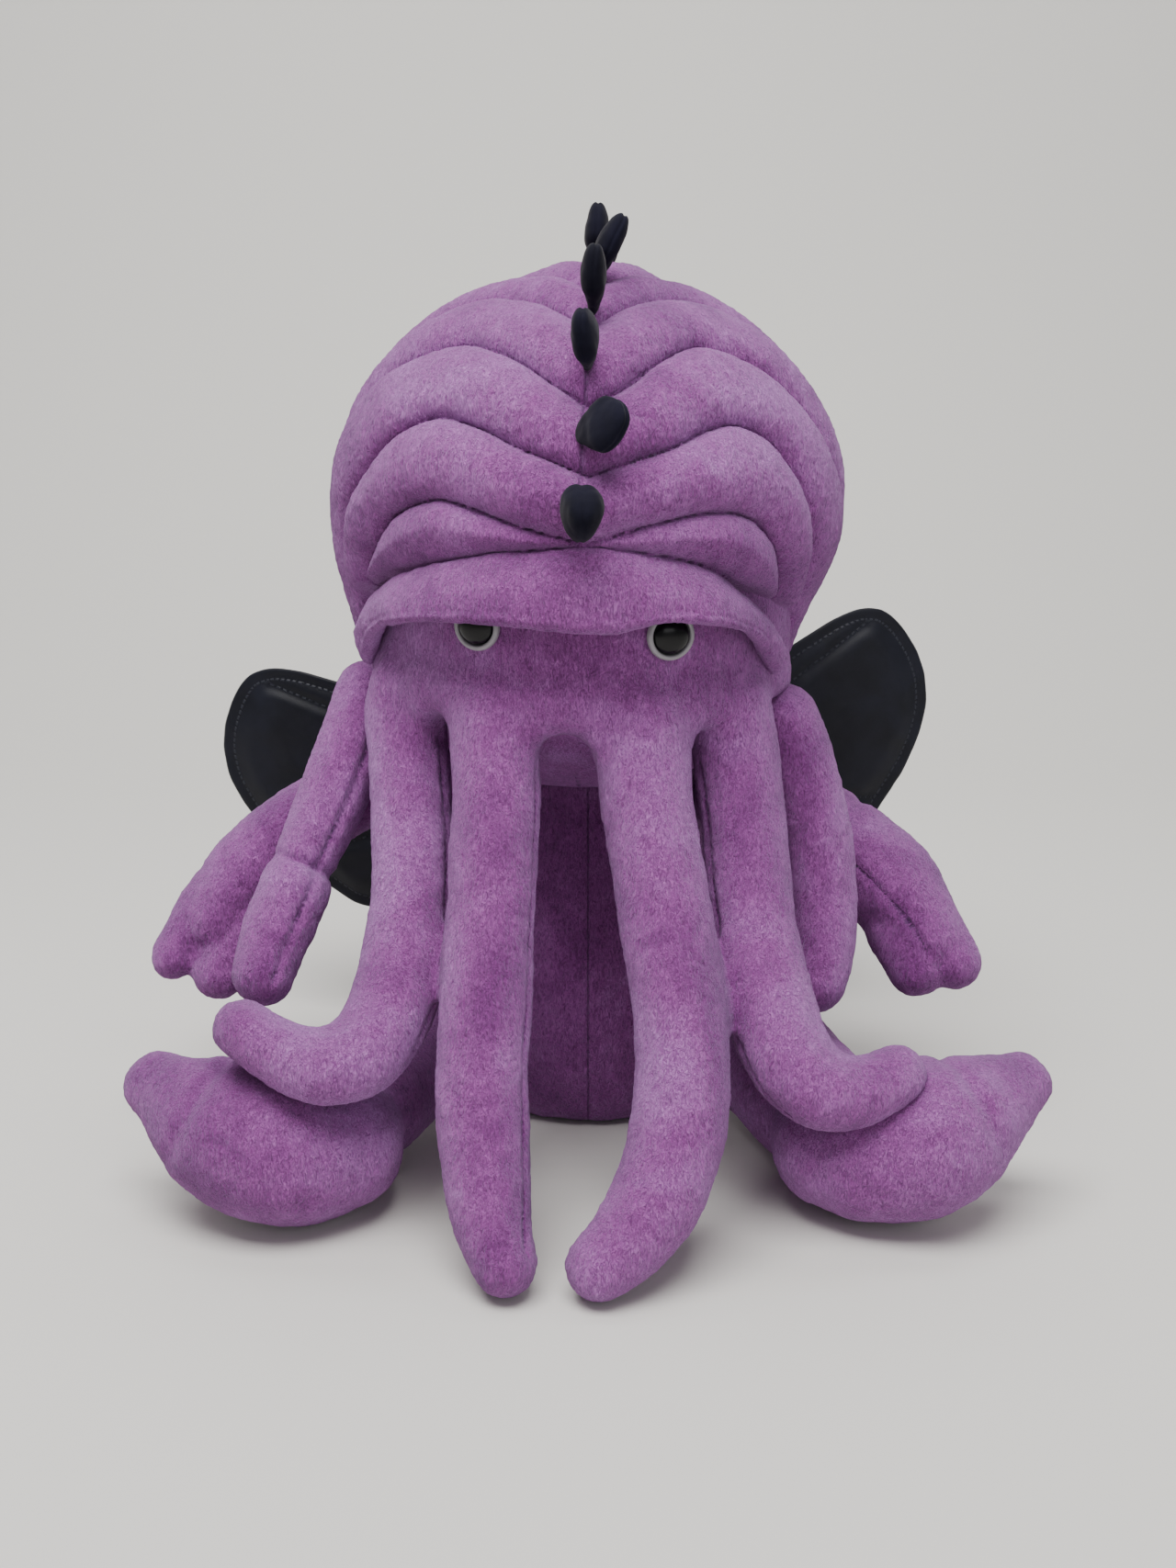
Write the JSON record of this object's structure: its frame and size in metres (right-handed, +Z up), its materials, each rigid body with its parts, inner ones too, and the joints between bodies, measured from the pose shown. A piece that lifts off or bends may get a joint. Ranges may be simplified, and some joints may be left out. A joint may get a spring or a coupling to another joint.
{
  "type": "octopus plush toy",
  "caption": "Sitting stuffed toy with a quilted octopus head, hanging tentacles, stuffed arms and legs, folding cloth wings and a row of felt fins.",
  "frame": {"origin": "centre of the toy's footprint, on the surface that it sits on", "axes": "+Z up, -Y is where the face looks, +X is to the right of someone who looks at the face"},
  "size_m": [0.2818, 0.2151, 0.2983],
  "materials": {
    "plush": "short-pile lilac plush with a soft sheen and a mottled nap",
    "wing_satin": "smooth blue-black coated cloth, satin",
    "fin_felt": "black felt, matte",
    "filling": "white polyester fibre",
    "eye_rim_plastic": "pale grey moulded plastic, gloss",
    "eye_black_plastic": "black moulded plastic, high gloss",
    "washer_plastic": "natural moulded plastic, matte"
  },
  "bodies": {
    "torso": {"torso_front_left": "plush", "torso_front_right": "plush", "torso_rear": "plush", "seat_panel": "plush", "torso_stuffing": "filling"},
    "head": {"mantle_left": "plush", "mantle_right": "plush", "brow_band": "plush", "face_panel": "plush", "underhead_panel": "plush", "head_stuffing": "filling", "fin_1": "fin_felt", "fin_2": "fin_felt", "fin_3": "fin_felt", "fin_4": "fin_felt", "fin_5": "fin_felt", "fin_6": "fin_felt", "fin_7": "fin_felt", "fin_8": "fin_felt", "fin_9": "fin_felt", "eye_rim_left": "eye_rim_plastic", "eye_rim_right": "eye_rim_plastic", "eye_pupil_left": "eye_black_plastic", "eye_pupil_right": "eye_black_plastic", "eye_washer_left": "washer_plastic", "eye_washer_right": "washer_plastic"},
    "tentacle_inner_left": {"tentacle_inner_left_skin": "plush", "tentacle_inner_left_stuffing": "filling"},
    "tentacle_inner_right": {"tentacle_inner_right_skin": "plush", "tentacle_inner_right_stuffing": "filling"},
    "tentacle_outer_left": {"tentacle_outer_left_skin": "plush", "tentacle_outer_left_stuffing": "filling"},
    "tentacle_outer_right": {"tentacle_outer_right_skin": "plush", "tentacle_outer_right_stuffing": "filling"},
    "tentacle_side_left": {"tentacle_side_left_skin": "plush", "tentacle_side_left_stuffing": "filling"},
    "tentacle_side_right": {"tentacle_side_right_skin": "plush", "tentacle_side_right_stuffing": "filling"},
    "arm_left": {"arm_left_skin": "plush", "arm_left_stuffing": "filling"},
    "arm_right": {"arm_right_skin": "plush", "arm_right_stuffing": "filling"},
    "leg_left": {"leg_left_skin": "plush", "leg_left_stuffing": "filling"},
    "leg_right": {"leg_right_skin": "plush", "leg_right_stuffing": "filling"},
    "wing_left": {"wing_left_front": "wing_satin", "wing_left_wadding": "filling", "wing_left_rear": "wing_satin"},
    "wing_right": {"wing_right_front": "wing_satin", "wing_right_wadding": "filling", "wing_right_rear": "wing_satin"}
  },
  "joints": [
    {"name": "head_tilt", "type": "hinge", "parent": "torso", "child": "head", "pos_m": [0, 0.05, 0.1257], "axis": [-1, 0, 0], "range_deg": [0, 12], "stiffness_Nm_per_rad": 0.35},
    {"name": "tentacle_inner_left_swing", "type": "hinge", "parent": "head", "child": "tentacle_inner_left", "pos_m": [-0.0274, -0.03199, 0.14483], "axis": [-1, 0, 0], "range_deg": [0, 45], "stiffness_Nm_per_rad": 0.03},
    {"name": "tentacle_inner_right_swing", "type": "hinge", "parent": "head", "child": "tentacle_inner_right", "pos_m": [0.01664, -0.03392, 0.14291], "axis": [-1, 0, 0], "range_deg": [0, 45], "stiffness_Nm_per_rad": 0.03},
    {"name": "tentacle_outer_left_swing", "type": "hinge", "parent": "head", "child": "tentacle_outer_left", "pos_m": [-0.05614, -0.00738, 0.14709], "axis": [-1, 0, 0], "range_deg": [0, 35], "stiffness_Nm_per_rad": 0.03},
    {"name": "tentacle_outer_right_swing", "type": "hinge", "parent": "head", "child": "tentacle_outer_right", "pos_m": [0.04401, -0.01616, 0.14272], "axis": [-1, 0, 0], "range_deg": [0, 35], "stiffness_Nm_per_rad": 0.03},
    {"name": "tentacle_side_left_swing", "type": "hinge", "parent": "head", "child": "tentacle_side_left", "pos_m": [-0.06984, 0.01536, 0.14809], "axis": [-0.4472, 0.8944, 0], "range_deg": [0, 25], "stiffness_Nm_per_rad": 0.03},
    {"name": "tentacle_side_right_swing", "type": "hinge", "parent": "head", "child": "tentacle_side_right", "pos_m": [0.06149, 0.00386, 0.14236], "axis": [-0.4472, -0.8944, 0], "range_deg": [0, 25], "stiffness_Nm_per_rad": 0.03},
    {"name": "arm_left_raise", "type": "hinge", "parent": "torso", "child": "arm_left", "pos_m": [-0.0505, 0.036, 0.116], "axis": [0, 1, 0], "range_deg": [0, 35], "stiffness_Nm_per_rad": 0.06},
    {"name": "arm_right_raise", "type": "hinge", "parent": "torso", "child": "arm_right", "pos_m": [0.0505, 0.036, 0.108], "axis": [0, -1, 0], "range_deg": [0, 35], "stiffness_Nm_per_rad": 0.06},
    {"name": "leg_left_splay", "type": "hinge", "parent": "torso", "child": "leg_left", "pos_m": [-0.05922, 0.00853, 0.0275], "axis": [0, 0, -1], "range_deg": [0, 20], "stiffness_Nm_per_rad": 0.15},
    {"name": "leg_right_splay", "type": "hinge", "parent": "torso", "child": "leg_right", "pos_m": [0.05922, 0.00853, 0.0275], "axis": [0, 0, 1], "range_deg": [0, 20], "stiffness_Nm_per_rad": 0.15},
    {"name": "wing_left_fold", "type": "hinge", "parent": "torso", "child": "wing_left", "pos_m": [-0.022, 0.089, 0.11], "axis": [0, 0, -1], "range_deg": [0, 35], "stiffness_Nm_per_rad": 0.03},
    {"name": "wing_right_fold", "type": "hinge", "parent": "torso", "child": "wing_right", "pos_m": [0.022, 0.089, 0.11], "axis": [0, 0, 1], "range_deg": [0, 35], "stiffness_Nm_per_rad": 0.03}
  ]
}
